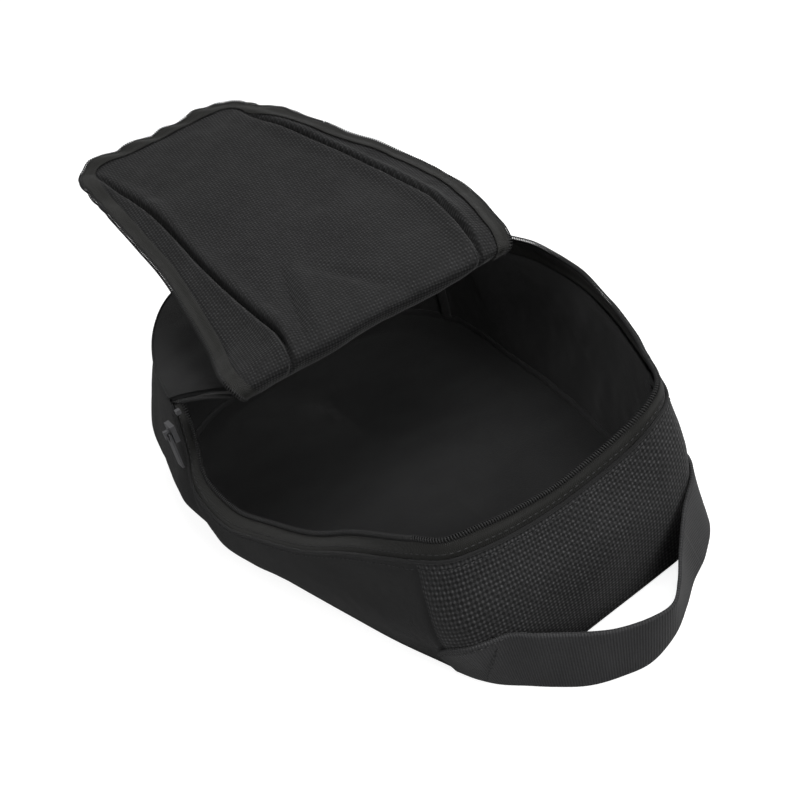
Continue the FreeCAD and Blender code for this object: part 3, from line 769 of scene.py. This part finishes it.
def lid_piece(name, runs, columns, from_column, to_column, material, skin=1.0, inset=(0.0, 0.0)):
    """Cloth of the lid between two of its width columns, from side to side."""
    steps = np.linspace(0, 1, columns)[None, :]
    run = np.repeat(runs[:, None], columns, axis=1)
    widths = lid_widths_at(run)
    low, high = widths[from_column] + inset[0], widths[to_column] - inset[1]
    past_corner = np.clip(run - (lid_length - corner_radius), 0, None)
    limit = np.sqrt(np.clip(corner_radius ** 2 - past_corner ** 2, 0, None))
    pull_in = np.where(past_corner > 0, corner_radius - limit, 0.0)
    if from_column < 2:
        low = np.maximum(low, widths[0] + pull_in)
    high = np.minimum(high, widths[3] - pull_in)
    high = np.maximum(high, low + 0.05)
    y = low + (high - low) * steps
    grid, normal = lid_at(run, y)
    return mesh_from_grid(name, grid, material, skin, cut=np.stack([y, run], axis=-1))


roll_runs = np.linspace(0, lid_start + 6, 70)
lid_runs = np.linspace(lid_start + 6, lid_length - 4, 170)
# How far off the middle line, in metres, a swing of the side folds would begin and be full
gusset_start = 0.060
gusset_end = 0.078

roll_cloth = lid_piece("lid_fold_cloth", roll_runs, 190, 1, 2, lid_cloth)
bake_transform(roll_cloth)
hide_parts("lid_fold_roll")

lid_panel = lid_piece("lid_panel_cloth", lid_runs, 190, 1, 2, lid_cloth)
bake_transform(lid_panel)
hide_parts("lid_panel")

for side, sign, columns in (("left", -1, (0, 1)), ("right", 1, (2, 3))):
    for part, span in (("corner", roll_runs), ("fold", lid_runs)):
        inset = (edge_cover, 0) if side == "left" else (0, edge_cover)
        cloth = lid_piece(f"lid_side_{part}_{side}", span, 60, *columns, lid_cloth, inset=inset)
        if part == "corner":
            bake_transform(cloth)
        else:
            sign * gusset_start
            sign * gusset_end
            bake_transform(cloth)
            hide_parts(f"lid_gusset_{side}")

# Edge of the lid: zip tape sewn on along both sides and round the free end, with its coil on the outside.
# It is one band in three pieces.
side_start = lid_start - 32.0
corner_turns = np.linspace(0, math.pi / 2, 14)


def edge_line(inwards):
    """The lid's outline from the left of the roll round the free end to the right, moved inwards."""
    radius = corner_radius - inwards
    straight = np.arange(side_start, lid_length - corner_radius, 1.5)
    corner_place = lid_length - corner_radius
    left, _, _, right = lid_widths_at(np.array([corner_place]))[:, 0]
    left_side = np.stack([straight, lid_widths_at(straight)[0] + inwards], axis=1)
    right_side = np.stack([straight, lid_widths_at(straight)[3] - inwards], axis=1)
    left_corner = np.stack([corner_place + radius * np.sin(corner_turns),
                            left + corner_radius - radius * np.cos(corner_turns)], axis=1)
    right_corner = np.stack([corner_place + radius * np.sin(corner_turns),
                             right - corner_radius + radius * np.cos(corner_turns)], axis=1)
    steps = np.linspace(0, 1, 60)[1:-1, None]
    end = left_corner[-1] * (1 - steps) + right_corner[-1] * steps
    return np.concatenate([left_side, left_corner, end, right_corner[::-1], right_side[::-1]])


band_plane = np.stack([edge_line(inwards) for inwards in np.linspace(0, tape_band, 8)])
along_edge = np.cumsum(np.linalg.norm(np.diff(band_plane[0], axis=0, prepend=band_plane[0, :1]), axis=1))
scallop = 1.1 * np.abs(np.sin(along_edge / 4.3)) + 0.7 * np.sin(along_edge / 9.0)
near_end = np.clip((band_plane[0, :, 0] - lid_length + 70) / 40.0, 0, 1)
outward = (band_plane[0] - band_plane[-1]) / tape_band
band_plane += (outward * (scallop * near_end)[:, None])[None] * np.linspace(1, 0, 8)[:, None, None]
band, band_normal = lid_at(band_plane[:, :, 0], band_plane[:, :, 1], drop=-0.7)
side_count = len(np.arange(side_start, lid_length - corner_radius, 1.5))
hinge_far = int(np.argmin(np.abs(band_plane[0, :side_count, 0] - (lid_start + 150))))
total = band.shape[1]
parts = {
    "left": (0, hinge_far + 1),
    "end": (hinge_far, total - hinge_far),
    "right": (total - hinge_far - 1, total),
}
for part, (first, last) in parts.items():
    tape = mesh_from_grid(f"lid_zip_tape_{part}", band[:, first:last], zip_tape_cloth, 0.8)
    edge = coil(f"lid_zip_coil_{part}", band[0, first:last], band_normal[0, first:last], coil_nylon)
    line = stitches(f"lid_tape_stitch_{part}", band[6, first:last] + band_normal[6, first:last] * 0.2,
                    band_normal[6, first:last], thread_black)
    for piece, node in ((tape, "tape"), (edge, "coil"), (line, "")):
        if part == "end":
            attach(piece, "lid")
            if node:
                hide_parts(f"lid_zip_{node}")
        else:
            sign = -1 if part == "left" else 1
            sign * gusset_start
            sign * gusset_end
            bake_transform(piece)
            if node:
                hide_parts(f"gusset_zip_{node}_{part}")

# Corner gores: at each end of the fold a soft cloth corner, with zip tape on its edge, joins the bag's
# top edge to the side of the lid.
gore_rows = np.linspace(0, 1, 12)[:, None, None]
gore_steps = np.linspace(0, 1, 30)[None, :, None]
for side, start_station, band_column in (("left", left_zip_corner, 0), ("right", right_zip_corner + 1.0, -1)):
    column = int(np.argmin(np.abs(wall_places - start_station)))
    sign = -1 if side == "left" else 1
    seam_corner, tape_corner = wall[-1, column], free_edge[column]
    fold_corner = np.array([fold_x, sign * fold_half, 114.0])
    lid_inner, lid_outer = band[-1, band_column], band[0, band_column]
    near = seam_corner * (1 - gore_rows) + fold_corner * gore_rows
    far = tape_corner * (1 - gore_rows) + lid_inner * gore_rows
    gore = near * (1 - gore_steps) + far * gore_steps
    puff = np.sin(gore_rows[..., 0] * math.pi) * np.sin(gore_steps[..., 0] * math.pi)
    gore[:, :, 2] += 3.0 * puff + 1.2 * ripple(gore, 16.0, 27) * puff
    gore_cloth = mesh_from_grid(f"corner_gore_{side}_cloth", gore, plain_cloth, 0.8, flip=side == "left")
    bend = np.linspace(0, 1, 24)[None, :, None]
    outer = tape_corner * (1 - bend) + lid_outer * bend
    inside = seam_corner * (1 - bend) + lid_inner * bend
    strip_rows = np.linspace(0, 1, 6)[:, None, None]
    corner_tape = inside * (1 - strip_rows) + outer * strip_rows
    corner_tape[:, :, 2] += 1.5 + 2.0 * np.sin(bend[..., 0] * math.pi)
    tape = mesh_from_grid(f"corner_zip_tape_{side}", corner_tape, zip_tape_cloth, 0.8)
    tape_normal = normals_of(corner_tape)
    corner_coil = coil(f"corner_zip_coil_{side}", corner_tape[-1], tape_normal[-1], coil_nylon)
    for piece in (gore_cloth, tape, corner_coil):
        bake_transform(piece)
    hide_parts(f"corner_gore_{side}")

# Crease tapes: narrow bindings of ribbed tape, sewn under the two creases on the lid's far side.
for side, column in (("left", 1), ("right", 2)):
    places = np.linspace(lid_start + 10, lid_start + 190, 90)
    middle = lid_widths_at(places)[column]
    under, under_normal = lid_at(places, middle, drop=1.5)
    crease = tube(f"lid_crease_tape_{side}_cloth", under, under_normal, oval(0.8, 2.8, 10), binding_cloth)
    if side == "right":
        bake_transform(crease)
    else:
        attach(crease, "lid")
    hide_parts(f"lid_crease_tape_{side}")

# Handle: one piece of black webbing that stands as a bow at the heel, sewn flat to the bag at both corners.
# Its rows follow the wall where it is sewn and leave it tangent; the ribs run across its width.
webbing = ribbed_finish("webbing", (0.008, 0.008, 0.0085, 1), (0.050, 0.050, 0.052, 1), 0.0016, rib_lift=1.4)
# The free bow from the left corner to the right: a point of its lower edge, then one of its upper edge
bow = [((200, -51, 1.2), (200, -50, 42)), ((214, -37, 1), (212, -33, 37)), ((222, -22, 1), (222, -17, 33)),
       ((227, -5, 1), (229, 1, 31)), ((223, 15, 1), (230, 15, 30)), ((213, 34, 1), (220, 29, 30)),
       ((203, 49, 1), (208, 42, 33)), ((195, 66, 3), (196, 58, 43))]
webbing_lift = 1.6
webbing_half = 0.9
strap_columns, strap_rows = 181, 15
free_from, free_to = -50, 54


def on_wall(station, height, lift=webbing_lift):
    """Point just outside the wall at a station and a height."""
    column = int(np.argmin(np.abs(wall_places - station)))
    line = wall[:, column] + wall_normal[:, column] * lift
    order = np.argsort(line[:, 2])
    return np.array([np.interp(height, line[order, 2], line[order, k]) for k in range(3)])


# Where the webbing lies on the wall: station, lower height, upper height and how far its lower edge
# stands off the cloth
left_sewn = [(27.7, 8, 32, 1.6), (28.3, 6, 44, 1.6), (28.9, 4, 48, 1.8), (29.4, 3, 49, 3.0),
             (29.75, 2, 48, 5.0)]
right_sewn = [(3.05, 15, 49, 7.0), (3.4, 22, 50, 3.5), (3.75, 27, 50, 1.6), (4.0, 31, 50, 1.6)]
knots = [[on_wall(s, low, lift) for s, low, high, lift in left_sewn],
         [on_wall(s, high) for s, low, high, lift in left_sewn]]
for level in (0, 1):
    knots[level] += [np.array(pair[level], float) for pair in bow]
    knots[level] += [on_wall(place[0], place[1 + level], place[3] if level == 0 else webbing_lift)
                     for place in right_sewn]
knots = np.array(knots)
steps = np.linalg.norm(np.diff(knots.mean(axis=0), axis=0), axis=1)
run = np.concatenate([[0.0], np.cumsum(steps)])
edges = [spline(run / run[-1], knots[level], np.linspace(0, 1, strap_columns)) for level in (0, 1)]
rise = np.linspace(0, 1, strap_rows)[:, None, None]
strap = edges[0][None] * (1 - rise) + edges[1][None] * rise
strap_normal = normals_of(strap)
strap += strap_normal * (0.8 * ripple(strap, 40.0, 31))[:, :, None]
middle_y = strap[strap_rows // 2, :, 1]
leave_left = int(np.argmax(middle_y > free_from))
leave_right = int(np.argmax(middle_y > free_to))
sections = {"handle_end_left": (0, leave_left + 1), "handle_strap": (leave_left, leave_right + 1),
            "handle_end_right": (leave_right, strap_columns)}
for node, (first, last) in sections.items():
    front, back = strap + strap_normal * webbing_half, strap - strap_normal * webbing_half
    closed = np.concatenate([front, back[::-1], front[:1]])[:, first:last]
    band_cloth = mesh_from_grid(node + "_webbing", closed, webbing)
    if node == "handle_strap":
        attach(band_cloth, "handle")
    else:
        sign = -1 if node.endswith("left") else 1
        sign * 0.067
        sign * 0.053
        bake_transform(band_cloth)
    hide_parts(node)

fractions = [k / 30 for k in range(31)]
sewn_lines = [
    [on_wall(29.72 - 2.0 * t, 46.5 - 0.5 * t - 16 * t ** 3, 2.6) for t in fractions],
    [on_wall(29.5 - 0.9 * t, 41 - 34 * t, 2.6 + 1.6 * t) for t in fractions],
    [on_wall(3.92, 31 + 18 * t) for t in fractions],
    [on_wall(3.72, 29 + 20 * t) for t in fractions],
]
for number, points in enumerate(sewn_lines, start=1):
    line = np.array(points)
    outward = np.array([[0.75, math.copysign(0.66, line[0][1]), 0.0]] * len(line))
    rows_of = stitches(f"handle_stitch_{number}", line + outward * 0.2, outward, thread_black, radius=0.4)
    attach(rows_of, "bag")

# Slider, pull and zip stops: small die-cast parts with a dark gunmetal finish, clamped to the coil and
# to the ends of the tape. They keep the shape of the construction model.
slider_paint = nylon_finish("slider_paint", (0.10, 0.10, 0.105, 1), (0.24, 0.24, 0.25, 1), roughness=0.28)
slider_paint.node_tree.nodes["Principled BSDF"].inputs["Metallic"].default_value = 0.7
for name in ("zip_slider", "slider_bridge", "zip_pull", "zip_end_stops"):
    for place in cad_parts[name].material_slots:
        place.material = slider_paint
